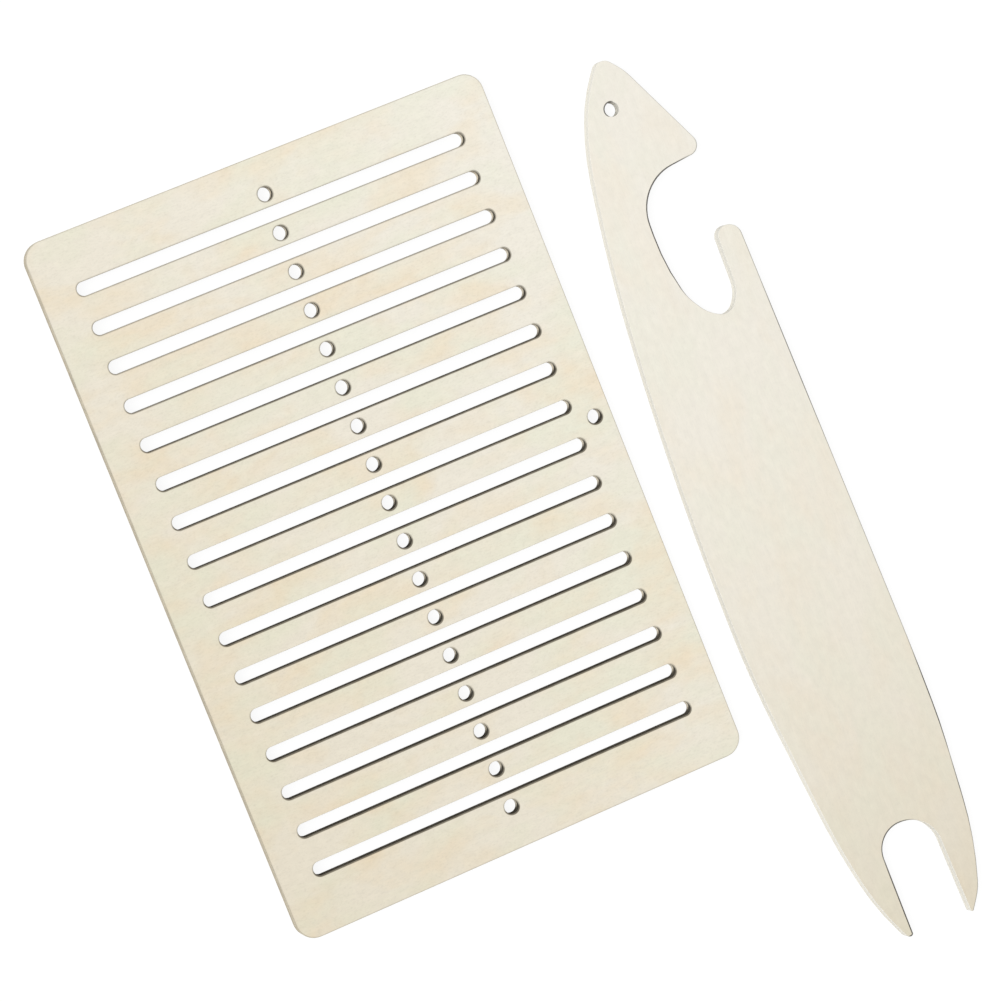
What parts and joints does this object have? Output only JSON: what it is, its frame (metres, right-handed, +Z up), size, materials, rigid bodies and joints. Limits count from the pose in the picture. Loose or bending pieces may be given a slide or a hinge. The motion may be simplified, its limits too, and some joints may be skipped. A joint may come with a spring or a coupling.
{
  "type": "rigid heddle and shuttle weaving set",
  "caption": "Flat plywood band-weaving set: a hole-and-slot rigid heddle plate and a forked stick shuttle with a hooked nose.",
  "frame": {"origin": "middle of the whole set's footprint, on the table the two pieces lie on", "axes": "+Z up off the table; +X along the heddle's slots, from the heddle to the shuttle; +Y along the row of eyes and along the shuttle, from its heel to its nose"},
  "size_m": [0.1414, 0.201, 0.003],
  "materials": {
    "face_veneer": "bare sanded pale basswood face veneer with darkened cut edges",
    "shuttle_veneer": "bare sanded basswood face veneer, a little paler than the heddle's",
    "core_veneer": "bare basswood core veneer laid across the faces' grain, seen only at cut edges"
  },
  "bodies": {
    "heddle": {"heddle_back_veneer": "face_veneer", "heddle_core_veneer": "core_veneer", "heddle_front_veneer": "face_veneer"},
    "shuttle": {"shuttle_back_veneer": "shuttle_veneer", "shuttle_core_veneer": "core_veneer", "shuttle_front_veneer": "shuttle_veneer"}
  },
  "joints": [
    {"name": "shuttle_throw", "type": "slide", "parent": "heddle", "child": "shuttle", "axis": [0, 1, 0], "range_m": [-0.136, 0.195]}
  ]
}
